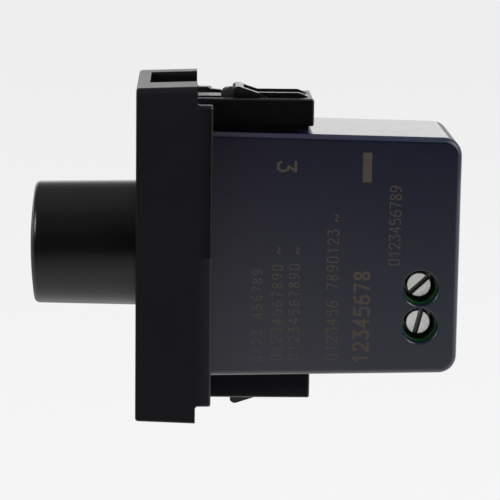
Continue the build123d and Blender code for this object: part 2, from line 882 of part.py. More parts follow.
def wire_funnel(narrow_y, wide_y, z):
    """Cone that leads a wire from the rear into one terminal."""
    length = wide_y - narrow_y
    cone = Cone(wire_hole_radius, wire_funnel_radius, length)
    return Pos(wire_x, narrow_y + length / 2, z) * Rot(-90, 0, 0) * cone


def terminal_block():
    """Moulded block with one cavity, screw funnel and wire hole per terminal."""
    x_span = (board_x[1] + lift, housing_width / 2 - housing_wall - 0.06)
    y_span = (26.2, 33.25)
    margin = 3.0
    z_span = (terminal_z[-1] - margin, terminal_z[0] + margin)
    body = block(x_span, y_span, z_span)
    funnel_radius = 2.15
    cavity_x = (-3.3, 4.75)
    cavity_y = (27.0, 31.9)
    cavity_half = 2.1
    bar_slot_x = (bar_x[0] - 0.03, bar_x[1] + 0.03)
    bar_slot_end = 32.5
    bar_slot_half = 1.23
    leg_slot_y = (27.1, 27.9)
    leg_slot_half = 0.65
    for z in terminal_z:
        body -= block(cavity_x, cavity_y, (z - cavity_half, z + cavity_half))
        body -= rod_x(funnel_radius, (cavity_x[1] - past, x_span[1] + past), terminal_y, z)
        body -= wire_funnel(cavity_y[1], y_span[1], z)
        body -= block(bar_slot_x, (cavity_y[1] - past, bar_slot_end), (z - bar_slot_half, z + bar_slot_half))
        body -= block((x_span[0] - past, cavity_x[0] + past), leg_slot_y, (z - leg_slot_half, z + leg_slot_half))
    return body


def terminal_leads():
    """Fixed bars through the clamps, with legs to the board."""
    bar_y = (27.2, 32.4)
    leg_y = (27.2, 27.8)
    half_bar = 1.2
    half_leg = 0.6
    leads = []
    for z in terminal_z:
        bar = block(bar_x, bar_y, (z - half_bar, z + half_bar))
        bar += block((board_x[0] - lead_reach, bar_x[1]), leg_y, (z - half_leg, z + half_leg))
        leads.append(bar)
    return leads


def terminal_screw(n):
    """Slotted terminal screw; its tip stands on the fixed bar."""
    z = terminal_z[n]
    head_height = 1.6
    shank_radius = 1.5
    slot_width = 0.65
    slot_depth = 0.8
    head_chamfer = 0.12
    slot_turn = (-47, -14)[n]
    head = rod_x(head_radius, (head_top - head_height, head_top), terminal_y, z)
    head = chamfer(head.edges().group_by(Axis.X)[-1], head_chamfer)
    shank = rod_x(shank_radius, (bar_x[1] + 0.02, head_top - head_height + 0.1), terminal_y, z)
    slot = block((head_top - slot_depth, head_top + past), (-slot_width / 2, slot_width / 2),
                 (-head_radius - past, head_radius + past))
    slot = Pos(0, terminal_y, z) * Rot(slot_turn, 0, 0) * slot
    return head + shank - slot


def wire_clamp(n):
    """Rising clamp: a closed loop whose thick top runs on the screw."""
    z = terminal_z[n]
    half_width = 2.0
    half_gap = 1.3
    screw_hole_radius = 1.53
    top = (bar_x[1] + 0.1, bar_x[1] + 1.5)
    floor = (bar_x[0] - 3.7, bar_x[0] - 3.0)
    y_span = (28.0, 31.6)
    body = block((floor[0], top[1]), y_span, (z - half_width, z + half_width))
    body -= block((floor[1], top[0]), (y_span[0] - past, y_span[1] + past), (z - half_gap, z + half_gap))
    relief = top[0] - clamp_travel - 0.2
    return body - rod_x(screw_hole_radius, (relief, top[1] + past), terminal_y, z)


def as_node(shape):
    """One exportable shape from a solid or a list of solids."""
    if isinstance(shape, list):
        return Compound(children=[piece.solid() for piece in shape])
    return shape


nodes = {
    "front_bezel": front_bezel(),
    "rear_housing": rear_housing(),
    "inner_plate": inner_plate(),
    "knob": knob(),
    "upper_latch": latch_solid(),
    "lower_latch": mirrored(latch_solid()),
    "control_shaft": control_shaft(),
    "mounting_bush": mounting_bush(),
    "lock_washer": lock_washer(),
    "panel_nut": panel_nut(),
    "control_case": control_case(),
    "track_disc": track_disc(),
    "track_pins": track_pins(),
    "wiper_rotor": wiper_rotor(),
    "wiper_contact": wiper_contact(),
    "switch_case": switch_case(),
    "switch_plunger": switch_plunger(),
    "contact_bridge": contact_bridge(),
    "fixed_contacts": fixed_contacts(),
    "return_spring": return_spring(),
    "circuit_board": circuit_board(),
    "film_capacitor": film_capacitor(),
    "timing_capacitor": timing_capacitor(),
    "resistors": resistors(),
    "diac": diac(),
    "heat_sink": heat_sink(),
    "heat_sink_screw": heat_sink_screw(),
    "triac": triac(),
    "insulating_sheet": insulating_sheet(),
    "choke_core": choke_core(),
    "choke_winding": choke_winding(),
    "fuse_tube": fuse_tube(),
    "fuse_caps": fuse_caps(),
    "fuse_clips": fuse_clips(),
    "terminal_block": terminal_block(),
    "terminal_leads": terminal_leads(),
}
for n in range(terminal_count):
    nodes[f"terminal_screw_{n + 1}"] = terminal_screw(n)
    nodes[f"wire_clamp_{n + 1}"] = wire_clamp(n)

os.makedirs("parts", exist_ok=True)
for name, shape in nodes.items():
    export_step(as_node(shape), f"parts/{name}.step")
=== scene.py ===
import json
import math

import bmesh
import bpy
from mathutils import Matrix, Vector

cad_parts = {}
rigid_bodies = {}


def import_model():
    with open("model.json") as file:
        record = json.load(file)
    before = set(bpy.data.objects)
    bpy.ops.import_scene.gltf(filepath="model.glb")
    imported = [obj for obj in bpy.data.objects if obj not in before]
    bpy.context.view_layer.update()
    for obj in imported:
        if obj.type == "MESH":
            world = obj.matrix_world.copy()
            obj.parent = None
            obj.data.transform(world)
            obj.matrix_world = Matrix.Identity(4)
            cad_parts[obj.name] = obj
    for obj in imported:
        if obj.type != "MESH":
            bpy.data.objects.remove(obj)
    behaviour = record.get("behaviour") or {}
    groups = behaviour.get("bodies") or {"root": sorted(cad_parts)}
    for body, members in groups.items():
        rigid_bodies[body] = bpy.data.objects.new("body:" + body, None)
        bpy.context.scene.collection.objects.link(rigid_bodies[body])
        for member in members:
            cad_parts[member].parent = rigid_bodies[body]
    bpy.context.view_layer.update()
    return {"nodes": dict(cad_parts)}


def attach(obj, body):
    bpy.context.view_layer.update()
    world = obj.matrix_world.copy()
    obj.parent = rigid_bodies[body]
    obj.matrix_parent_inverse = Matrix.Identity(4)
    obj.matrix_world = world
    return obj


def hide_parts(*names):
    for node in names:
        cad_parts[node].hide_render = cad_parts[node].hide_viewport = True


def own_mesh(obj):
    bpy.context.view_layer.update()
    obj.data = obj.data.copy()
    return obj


bl_info = {
    "name": "Dimmer switch module",
    "version": (1, 0, 0),
    "blender": (4, 5, 0),
    "location": "View3D > Sidebar > Dimmer",
    "description": "Studio, camera and finishes of a one-module rotary dimmer",
    "category": "Object",
}

for startup_object in list(bpy.data.objects):
    bpy.data.objects.remove(startup_object)
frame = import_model()

MM = 0.001


# Properties

def colour_property(name, text, default):
    """A linear colour that a user can change."""
    return bpy.props.FloatVectorProperty(
        name=name, description=text, default=default, size=3, min=0.0, max=1.0, subtype="COLOR")


def length_property(name, text, default):
    """A length in metres that a user can change."""
    return bpy.props.FloatProperty(name=name, description=text, default=default, unit="LENGTH", precision=5)


def share_property(name, text, default):
    """A number from 0 to 1 that a user can change."""
    return bpy.props.FloatProperty(name=name, description=text, default=default, min=0.0, max=1.0)


class DimmerStageSettings(bpy.types.PropertyGroup):
    """Camera, floor and light."""

    camera_pitch: bpy.props.FloatProperty(
        name="Camera pitch", description="How far the camera looks down", default=math.radians(10.81),
        subtype="ANGLE")
    camera_yaw: bpy.props.FloatProperty(
        name="Camera yaw", description="Turn of the camera about the vertical, from the side face's normal",
        default=math.radians(-1.58), subtype="ANGLE")
    camera_roll: bpy.props.FloatProperty(
        name="Camera roll", description="Tilt of the camera about its line of sight", default=0.013,
        subtype="ANGLE")
    camera_distance: length_property("Camera distance", "From the camera to its target", 0.31812)
    camera_target: bpy.props.FloatVectorProperty(
        name="Camera target", description="Point in the middle of the picture",
        default=(0.0, 0.007335, -0.000956), size=3, subtype="TRANSLATION")
    camera_lens: bpy.props.FloatProperty(
        name="Lens", description="Focal length in millimetres on a sensor 36 mm wide", default=168.84)
    floor_drop: length_property("Floor", "How far the floor lies below the knob's axis", 0.09)
    backdrop: colour_property("Backdrop", "Colour of the floor and the backdrop", (0.940, 0.940, 0.945))
    overhead: share_property("Overhead", "Light from straight above", 0.42)
    horizon: share_property("Horizon", "Light from the horizon on the camera's side", 0.08)
    backlight: bpy.props.FloatProperty(
        name="Backlight", description="Light from the bright wall behind the object", default=1.5, min=0.0)
    key_power: bpy.props.FloatProperty(
        name="Key light", description="Power of the key light in watts", default=5.5, min=0.0)
    fill_power: bpy.props.FloatProperty(
        name="Fill light", description="Power of the fill light in watts", default=3.5, min=0.0)


class DimmerPlasticSettings(bpy.types.PropertyGroup):
    """Colours and roughness of the mouldings."""

    bezel: colour_property("Bezel", "Black of the flange, collar and arms", (0.0095, 0.0095, 0.0118))
    bezel_roughness: share_property("Bezel roughness", "Roughness of the flange", 0.52)
    knob: colour_property("Knob", "Black of the knob", (0.0016, 0.0016, 0.0018))
    knob_roughness: share_property("Knob roughness", "Roughness of the knob", 0.27)
    housing: colour_property("Housing", "Blue-black of the housing near the flange", (0.0070, 0.0058, 0.0180))
    housing_end: colour_property("Housing end", "Blue-black of the housing at its end", (0.0030, 0.0064, 0.0190))
    housing_roughness: share_property("Housing roughness", "Roughness of the housing", 0.17)
    latch: colour_property("Latches", "Black of the latch tongues", (0.0035, 0.0035, 0.0040))
    marks: colour_property("Marks", "Tan of the plain marks on the side", (0.060, 0.046, 0.036))
    inner: colour_property("Inner plate", "Black of the plate inside", (0.020, 0.020, 0.024))
    control: colour_property("Control case", "Black of the control's case", (0.030, 0.030, 0.034))
    switch: colour_property("Switch case", "Grey of the switch's case", (0.055, 0.055, 0.062))
    natural: colour_property("Rotor and plunger", "Natural colour of unpigmented plastic", (0.72, 0.70, 0.63))
    terminal: colour_property("Terminal block", "Dark green of the terminal block", (0.004, 0.045, 0.012))


class DimmerBoardSettings(bpy.types.PropertyGroup):
    """Colours of the circuit board and its components."""

    mask: colour_property("Solder mask", "Green lacquer of the board", (0.020, 0.150, 0.055))
    laminate: colour_property("Laminate", "Sawn edge of the board", (0.45, 0.42, 0.22))
    film_box: colour_property("Film capacitor", "Yellow of the suppression capacitor", (0.68, 0.47, 0.045))
    small_box: colour_property("Timing capacitor", "Red of the timing capacitor", (0.42, 0.045, 0.025))
    lacquer: colour_property("Resistors", "Pale blue lacquer of the resistors", (0.36, 0.50, 0.58))
    diac: colour_property("Diac", "Blue moulding of the diac", (0.035, 0.11, 0.32))
    package: colour_property("Triac package", "Black of the triac's package", (0.016, 0.016, 0.017))
    ferrite: colour_property("Ferrite", "Grey of the choke's core", (0.060, 0.058, 0.060))
    paper: colour_property("Insulating paper", "Cream of the insulating sheet", (0.62, 0.58, 0.46))
    track_base: colour_property("Track laminate", "Brown of the track's disc", (0.23, 0.13, 0.06))


class DimmerMetalSettings(bpy.types.PropertyGroup):
    """Colours of the plated and bare metal pieces."""

    zinc: colour_property("Zinc", "Plating of the screws and washers", (0.94, 0.94, 0.91))
    brass: colour_property("Brass", "Bush and bare brass", (0.70, 0.52, 0.24))
    tin: colour_property("Tin", "Tinned contact strip", (0.70, 0.66, 0.55))
    aluminium: colour_property("Aluminium", "Shaft and heat sink", (0.78, 0.78, 0.79))
    steel: colour_property("Spring wire", "Drawn steel wire", (0.46, 0.46, 0.48))
    copper: colour_property("Copper", "Enamelled winding wire", (0.68, 0.24, 0.09))
    wire: length_property("Winding wire", "Diameter of the choke's wire", 0.00036)


# Materials

class Value:
    """An output in a material; Python arithmetic on it adds Math nodes."""

    def __init__(self, finish, socket):
        self.finish = finish
        self.socket = socket

    def maths(self, operation, first, second=0.0):
        return self.finish.add("ShaderNodeMath", {"operation": operation}, {0: first, 1: second})

    def __add__(self, other):
        return self.maths("ADD", self, other)

    __radd__ = __add__

    def __sub__(self, other):
        return self.maths("SUBTRACT", self, other)

    def __rsub__(self, other):
        return self.maths("SUBTRACT", other, self)

    def __mul__(self, other):
        return self.maths("MULTIPLY", self, other)

    __rmul__ = __mul__

    def __truediv__(self, other):
        return self.maths("DIVIDE", self, other)

    def __pow__(self, other):
        return self.maths("POWER", self, other)

    def __neg__(self):
        return self.maths("MULTIPLY", self, -1.0)

    def __abs__(self):
        return self.maths("ABSOLUTE", self)

    def __or__(self, other):
        return self.maths("MAXIMUM", self, other)

    def __gt__(self, other):
        return self.maths("GREATER_THAN", self, other)

    def __lt__(self, other):
        return self.maths("LESS_THAN", self, other)


class Finish:
    """A node tree that is being written, for a material or the world."""

    def __init__(self, name, owner=None):
        self.owner = owner or bpy.data.materials.new(name)
        self.owner.use_nodes = True
        self.tree = self.owner.node_tree
        self.tree.nodes.clear()
        self.known_place = None

    def add(self, kind, settings=None, sockets=None, output=0):
        """Puts one node in the tree: its settings first, then the values or links of its sockets."""
        node = self.tree.nodes.new(kind)
        for name, setting in (settings or {}).items():
            if name == "stops":
                self.set_stops(node.color_ramp, setting)
            else:
                setattr(node, name, setting)
        for key, value in (sockets or {}).items():
            if isinstance(value, Value):
                self.tree.links.new(value.socket, node.inputs[key])
            else:
                node.inputs[key].default_value = value
        return Value(self, node.outputs[output]) if node.outputs else node

    def set_stops(self, ramp, stops):
        """Gives a ramp its (position, grey level) stops."""
        while len(ramp.elements) < len(stops):
            ramp.elements.new(1.0)
        for element, (position, level) in zip(ramp.elements, stops):
            element.position = position
            element.color = (level, level, level, 1.0)

    def place(self):
        """The place on the object in millimetres, in the row frame."""
        if self.known_place is None:
            at = self.add("ShaderNodeTexCoord", output="Object")
            self.known_place = self.vector("SCALE", at, scale=1 / MM)
        return self.known_place

    def facing(self):
        """The way the surface faces, in the row frame."""
        return self.add("ShaderNodeTexCoord", output="Normal")

    def vector(self, operation, first, second=None, scale=None, output=0):
        """One Vector Math node."""
        sockets = {0: first}
        if second is not None:
            sockets[1] = second
        if scale is not None:
            sockets["Scale"] = scale
        return self.add("ShaderNodeVectorMath", {"operation": operation}, sockets, output)

    def axes(self, at):
        """The three numbers of a vector."""
        parts = self.add("ShaderNodeSeparateXYZ", sockets={0: at})
        outputs = parts.socket.node.outputs
        return [Value(self, outputs[n]) for n in range(3)]

    def noise(self, size, detail=2.0, rough=0.5, stretch=None, distortion=0.0):
        """Noise from 0 to 1 whose features are about size millimetres."""
        at = self.place()
        if stretch:
            at = self.vector("MULTIPLY", at, stretch)
        return self.add("ShaderNodeTexNoise", sockets={
            "Vector": at, "Scale": 1 / size, "Detail": detail, "Roughness": rough, "Distortion": distortion})

    def cells(self, size):
        """Random number from 0 to 1 for each crystal-like cell of about size millimetres."""
        sockets = {"Vector": self.place(), "Scale": 1 / size}
        return self.axes(self.add("ShaderNodeTexVoronoi", sockets=sockets, output="Color"))[0]

    def smooth(self, value, low, high):
        """Soft step of a value, 0 at low and 1 at high."""
        return self.add("ShaderNodeMapRange", {"interpolation_type": "SMOOTHSTEP"},
                        {"Value": value, "From Min": low, "From Max": high})

    def between(self, value, low, high):
        """1 where a value lies between two others, 0 elsewhere."""
        return (value > low) * (value < high)

    def ramp(self, value, stops):
        """Grey ramp over a value."""
        return self.add("ShaderNodeValToRGB", {"stops": stops}, {0: value})

    def mix(self, share, first, second):
        """Mix of two colours."""
        first, second = [value if isinstance(value, Value) else (*value, 1.0) for value in (first, second)]
        return self.add("ShaderNodeMix", {"data_type": "RGBA"}, {0: share, 6: first, 7: second}, output=2)

    def shaded(self, colour, factor):
        """A colour made lighter or darker by a factor."""
        return self.vector("SCALE", colour, scale=factor)

    def rounded(self, radius):
        """Surface normal that turns softly over sharp edges."""
        return self.add("ShaderNodeBevel", {"samples": 6}, {"Radius": radius * MM})

    def fillets(self):
        """1 on the fillets between faces that lie along the axes, and 0 on those faces."""
        across, along, up = [abs(part) for part in self.axes(self.facing())]
        return 1 - self.smooth(across | along | up, 0.93, 0.99)

    def turned(self, normal, dome):
        """A normal made true to a shape turned about Y, whose end is a dome, so that mesh seams don't show."""
        inward = {"vector_type": "NORMAL", "convert_from": "WORLD", "convert_to": "OBJECT"}
        outward = {"vector_type": "NORMAL", "convert_from": "OBJECT", "convert_to": "WORLD"}
        own = self.add("ShaderNodeVectorTransform", inward, {0: normal})
        spoke = self.vector("MULTIPLY", self.place(), (1.0, 0.0, 1.0))
        reach = self.vector("LENGTH", spoke, output="Value")
        spoke = self.vector("NORMALIZE", spoke)
        lean = self.vector("DOT_PRODUCT", own, spoke, output="Value")
        on_dome = -self.axes(own)[1] > 0.97
        lean = lean * (1 - on_dome) + reach * on_dome / dome
        own = self.vector("ADD", self.vector("MULTIPLY", own, (0.0, 1.0, 0.0)),
                          self.vector("SCALE", spoke, scale=lean))
        return self.vector("NORMALIZE", self.add("ShaderNodeVectorTransform", outward, {0: own}))

    def bump(self, height, depth, edge=None):
        """Normal of a surface with relief, depth in millimetres, on a normal or over edges of a radius."""
        sockets = {"Height": height, "Distance": depth * MM, "Strength": 1.0}
        if edge:
            sockets["Normal"] = edge if isinstance(edge, Value) else self.rounded(edge)
        return self.add("ShaderNodeBump", sockets=sockets)

    def surface(self, colour, rough, normal=None, **others):
        """The Principled shader and the output; underscores in the other sockets' names stand for spaces."""
        sockets = {key.replace("_", " "): value for key, value in others.items()}
        sockets.update({"Base Color": colour, "Roughness": rough})
        if normal:
            sockets["Normal"] = normal
        shader = self.add("ShaderNodeBsdfPrincipled", sockets=sockets)
        self.add("ShaderNodeOutputMaterial", sockets={"Surface": shader})
        return self.owner


def dress(material, *nodes):
    """Gives CAD nodes a material."""
    for name in nodes:
        for slot in frame["nodes"][name].material_slots:
            slot.material = material


def show(name, built, material, smooth=False):
    """Makes a piece on the base from a bmesh."""
    mesh = bpy.data.meshes.new(name)
    bmesh.ops.recalc_face_normals(built, faces=built.faces)
    built.to_mesh(mesh)
    built.free()
    for face in mesh.polygons:
        face.use_smooth = smooth
    piece = bpy.data.objects.new(name, mesh)
    bpy.context.scene.collection.objects.link(piece)
    mesh.materials.append(material)
    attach(piece, "base")
    return piece


# Plastics, with the places in millimetres where a finish changes, among them the notches and the housing under
# the arms, which get painted shade

NOTCH_X = (-7.5, 4.7)
NOTCH_Y = (-6.3, 0.1)
NOTCH_Z = (16.1, 21.9)
ARM_SHADE_HALF_WIDTH = 8.6
ARM_FOOT = 16.2
ARM_REAR = 15.4
HOUSING_REAR = 36.0
DOME_RADIUS = 52.0


def moulded_plastic(name, colour, roughness, flow):
    """Injection-moulded plastic: fine grain, faint flow marks and softly rounded edges."""
    f = Finish(name)
    fine = f.noise(0.12)
    marks = f.noise(9.0, detail=3, stretch=(1.0, 0.5, 1.0), distortion=0.6)
    handled = f.noise(3.0, detail=4, rough=0.6)
    shade = 1 + (marks - 0.5) * flow + (fine - 0.5) * flow
    rough = roughness + (handled - 0.5) * 0.10 + (fine - 0.5) * 0.06
    return f.surface(f.shaded(colour, shade), rough, f.bump(fine, 0.004, 0.08))


def bezel_black(colour, roughness):
    """Eroded matte black, smoother on level faces; painted shade in the notches and on the upper arm, and a
    painted lighter tone on the lower arm.
    """
    f = Finish("bezel_black")
    x, y, z = f.axes(f.place())
    level = f.smooth(abs(f.axes(f.facing())[2]), 0.55, 0.9)
    # Painted shade: the inside of the notches is painted darker.
    notch_painted_shade = f.between(x, *NOTCH_X) * f.between(y, *NOTCH_Y) * f.between(abs(z), *NOTCH_Z)
    arm = f.smooth(y, -0.2, 3.0)
    fine = f.noise(0.10)
    blotch = f.noise(4.0, detail=4, rough=0.6)
    marks = f.noise(9.0, detail=3, stretch=(1.0, 0.5, 1.0), distortion=0.6)
    # Painted shade and light: the upper arm is painted darker and the lower arm lighter, and the notches darker.
    upper_arm_painted_shade, lower_arm_painted_light = 0.8, -1.2
    arm_painted_shading = (z > 0.0) * (upper_arm_painted_shade - lower_arm_painted_light) + lower_arm_painted_light
    dark = (1 - arm * arm_painted_shading) * (1 - notch_painted_shade * 0.7)
    shade = dark * (1 + (marks - 0.5) * 0.25 + (fine - 0.5) * 0.25)
    rough = roughness + (blotch - 0.5) * 0.08 + (fine - 0.5) * 0.06 - level * 0.20 - arm * 0.05
    return f.surface(f.shaded(colour, shade), rough, f.bump(fine * (1 - level * 0.6), 0.004, 0.28),
                     Specular_IOR_Level=0.08, Coat_Weight=arm * f.fillets() * 0.9, Coat_Roughness=0.25)


def latch_black(colour):
    """Latch tongue: polished by the frame on its tooth, dull on the tooth's front."""
    f = Finish("latch_black")
    fine = f.noise(0.10)
    rubs = f.noise(0.8, detail=4, rough=0.65, stretch=(1.0, 0.3, 1.0))
    front = f.smooth(-f.axes(f.facing())[1], 0.35, 0.65)
    shade = 1 + (rubs - 0.5) * 0.4 + (fine - 0.5) * 0.2
    rough = 0.26 + front * 0.55 + (rubs - 0.5) * 0.12 + (fine - 0.5) * 0.06
    return f.surface(f.shaded(colour, shade), rough, f.bump(fine, 0.002, 0.08),
                     Specular_IOR_Level=0.35)


def housing_blue_black(colour, end_colour, roughness):
    """Smooth blue-black moulding: flow lines, haze, sparse dust, fillets painted lighter as wear and as a
    highlight, painted shade under the arms.
    """
    f = Finish("housing_blue_black")
    x, y, z = f.axes(f.place())
    fine = f.noise(0.09)
    flow = f.noise(7.0, detail=4, rough=0.55, stretch=(1.0, 0.35, 1.0), distortion=0.8)
    haze = f.noise(3.2, detail=4, rough=0.6)
    dust = f.smooth(f.noise(0.16, detail=1), 0.79, 0.84)
    fillet_wear_and_highlight = f.fillets()
    # The fillets are painted lighter, partly as wear and partly as a painted highlight.
    shade = 1 + (flow - 0.5) * 0.22 + (fine - 0.5) * 0.10 + dust * 1.6 + fillet_wear_and_highlight * 0.8
    upper = f.smooth(z, 8.0, 13.0)
    rough = roughness + (haze - 0.5) * 0.09 + (fine - 0.5) * 0.04 + dust * 0.2 + fillet_wear_and_highlight * (0.08 + upper * 0.20)
    # Painted shade: the housing under the arms is painted darker.
    painted_shade_under_arm = (abs(x) < ARM_SHADE_HALF_WIDTH) * (abs(z) > ARM_FOOT) * (y < ARM_REAR)
    tone = f.mix(f.smooth(y, 0.0, HOUSING_REAR), colour, end_colour)
    return f.surface(f.shaded(tone, shade * (1 - painted_shade_under_arm * 0.85)), rough,
                     f.bump(fine, 0.0008, 0.10), Specular_IOR_Level=0.55,
                     Coat_Weight=fillet_wear_and_highlight * (1 - upper) * (0.6 + haze * 0.6), Coat_Roughness=0.2)


def knob_satin(colour, roughness):
    """Satin black with an even fine texture, polished a little where fingers hold the rim, with painted shade
    next to the flange.
    """
    f = Finish("knob_satin")
    _, y, _ = f.axes(f.place())
    fine = f.noise(0.07)
    rubs = f.noise(1.4, detail=5, rough=0.65, stretch=(1.0, 0.3, 1.0))
    held = f.smooth(-y, 12.0, 20.0)
    # Painted shade: the knob is painted darker next to the flange.
    painted_shade_by_flange = f.smooth(y, -15.0, -8.5)
    shade = (1 + (fine - 0.5) * 0.3 + (rubs - 0.5) * 0.3) * (1 - painted_shade_by_flange * 0.8)
    rough = roughness + (fine - 0.5) * 0.05 + (rubs - 0.5) * 0.08 - held * 0.02
    return f.surface(f.shaded(colour, shade), rough,
                     f.bump(fine, 0.0012, f.turned(f.rounded(0.10), DOME_RADIUS)), Specular_IOR_Level=0.42)


def side_ink(colour):
    """Tan laser marking: matte, uneven along its strokes."""
    f = Finish("side_ink")
    blot = f.noise(0.35, detail=4, rough=0.7)
    dots = f.noise(0.06, detail=1)
    shade = 0.75 + blot * 0.35 + dots * 0.25
    return f.surface(f.shaded(colour, shade), 0.55 + blot * 0.2, f.bump(dots, 0.004),
                     Specular_IOR_Level=0.4)


def natural_plastic(colour):
    """Unpigmented plastic: milky, with flow lines and a waxy gloss."""
    f = Finish("natural_plastic")
    flow = f.noise(2.2, detail=4, distortion=1.2)
    fine = f.noise(0.12)
    warm = f.mix(flow, colour, (colour[0], colour[1] * 0.95, colour[2] * 0.82))
    return f.surface(f.shaded(warm, 0.93 + fine * 0.14), 0.36 + (flow - 0.5) * 0.12,
                     f.bump(fine, 0.002, 0.06))


def speckled_case(name, colour, fleck):
    """Filled thermoset moulding with pale flecks."""
    f = Finish(name)
    fine = f.noise(0.14, detail=3)
    flecks = f.smooth(f.noise(0.3, detail=1), 0.68, 0.76)
    tone = f.mix(flecks * 0.5, f.shaded(colour, 0.8 + fine * 0.4), fleck)
    return f.surface(tone, 0.42 + (fine - 0.5) * 0.16, f.bump(fine, 0.004, 0.08))


def insulating_paper(colour):
    """Calendered paper: long fibres, blotches and a fuzzy cut edge."""
    f = Finish("insulating_paper")
    fibres = f.noise(0.35, detail=5, rough=0.75, stretch=(1.0, 0.15, 1.0))
    cross = f.noise(0.35, detail=4, rough=0.7, stretch=(1.0, 1.0, 0.2))
    blotch = f.noise(5.0, detail=3)
    shade = 0.72 + fibres * 0.22 + cross * 0.18 + blotch * 0.14
    return f.surface(f.shaded(colour, shade), 0.62 + (fibres - 0.5) * 0.2, f.bump(fibres + cross, 0.01))


# Metals

def plated_metal(name, colour, roughness, scratch=0.5, depth=0.003, stretch=(1.0, 1.0, 1.0), edge=0.05,
                 mottling=0.35, slot_painted_shade_below=None):
    """Plated metal: crystal mottling, fine scratches, worn edges and, in a screw, painted shade on the slot's
    floor.
    """
    f = Finish(name)
    lines = f.noise(scratch, detail=4, rough=0.65, stretch=stretch)
    mottle = f.noise(0.7, detail=5, rough=0.7)
    crystals = f.cells(0.28)
    shade = 1 + (mottle - 0.5) * mottling * 1.6 + (lines - 0.5) * 0.25 + (crystals - 0.5) * mottling * 0.5
    # Painted shade: below this depth the screw's slot is painted dark.'
    if slot_painted_shade_below:
        shade = shade * (0.12 + f.smooth(f.axes(f.place())[0], slot_painted_shade_below, slot_painted_shade_below + 0.1) * 0.88)
    rough = roughness + (mottle - 0.5) * 0.25 + (lines - 0.5) * 0.15 + (crystals - 0.5) * 0.12
    return f.surface(f.shaded(colour, shade), rough, f.bump(lines + crystals * 0.3, depth, edge),
                     Metallic=1.0)


def turned_metal(name, colour, roughness):
    """Metal turned on a lathe about the knob's axis: fine rings with a few deeper ones."""
    f = Finish(name)
    rings = f.noise(0.09, detail=3, rough=0.7, stretch=(0.02, 1.0, 0.02))
    deep = f.noise(0.5, detail=1, stretch=(0.02, 1.0, 0.02))
    stain = f.noise(1.6, detail=4, rough=0.6)
    shade = 0.88 + rings * 0.12 + stain * 0.14
    rough = roughness + (rings - 0.5) * 0.14 + (stain - 0.5) * 0.15
    return f.surface(f.shaded(colour, shade), rough, f.bump(rings + deep, 0.006, 0.06),
                     Metallic=1.0)


def threaded_brass(colour):
    """Brass bush: turned flange and a fine thread on the sleeve in front of the plate."""
    f = Finish("threaded_brass")
    pitch = 0.5
    sleeve_end, bore = 5.7, 3.35
    x, y, z = f.axes(f.place())
    turn = y / pitch + x.maths("ARCTAN2", z, x) / (2 * math.pi)
    wave = turn.maths("PINGPONG", turn, 0.5) * 2
    radius = (x * x + z * z) ** 0.5
    sleeve = f.smooth(-y, sleeve_end, sleeve_end + 0.1) * f.smooth(radius, bore, bore + 0.1)
    rings = f.noise(0.09, detail=3, rough=0.7, stretch=(0.02, 1.0, 0.02))
    stain = f.noise(1.3, detail=4, rough=0.65)
    relief = wave * sleeve + rings * 0.06
    shade = 0.72 + stain * 0.3 + rings * 0.08 + wave * sleeve * 0.12
    return f.surface(f.shaded(colour, shade), 0.26 + (stain - 0.5) * 0.2,
                     f.bump(relief, 0.12, 0.05), Metallic=1.0)


def rolled_aluminium(colour):
    """Mill-finish sheet: rolling grain along its length, with dull oxide clouds."""
    f = Finish("rolled_aluminium")
    grain = f.noise(0.10, detail=4, rough=0.7, stretch=(1.0, 1.0, 0.03))
    long_lines = f.noise(0.5, detail=3, stretch=(1.0, 1.0, 0.02))
    cloud = f.noise(3.5, detail=5, rough=0.6)
    shade = 0.80 + grain * 0.14 + cloud * 0.20
    rough = 0.34 + (grain - 0.5) * 0.18 + (cloud - 0.5) * 0.18
    return f.surface(f.shaded(colour, shade), rough,
                     f.bump(grain + long_lines * 0.5, 0.005, 0.08), Metallic=1.0)


def drawn_wire(colour):
    """Spring steel wire with draw marks and a trace of oil."""
    f = Finish("drawn_wire")
    marks = f.noise(0.06, detail=3, rough=0.7)
    oil = f.noise(0.8, detail=3)
    return f.surface(f.shaded(colour, 0.8 + marks * 0.3 + oil * 0.15), 0.24 + (oil - 0.5) * 0.2,
                     f.bump(marks, 0.003), Metallic=1.0)


# Board and components

def solder_pads():
    """Centres and radii of the soldered joints on the board as (y, z, radius) in millimetres."""
    pads = [(5.4, 2.5 * n, 1.0) for n in (-1, 0, 1)]
    pads += [(8.2, 4.8 * side, 1.1) for side in (-1, 1)]
    pads += [(27.5, -4.25 - 5.08 * n, 1.6) for n in (0, 1)]
    pads += [(y, 10.1, 1.0) for y in (6.0, 16.0)]
    pads += [(21.0 + 2.54 * n, 8.3, 1.1) for n in (-1, 0, 1)]
    return pads


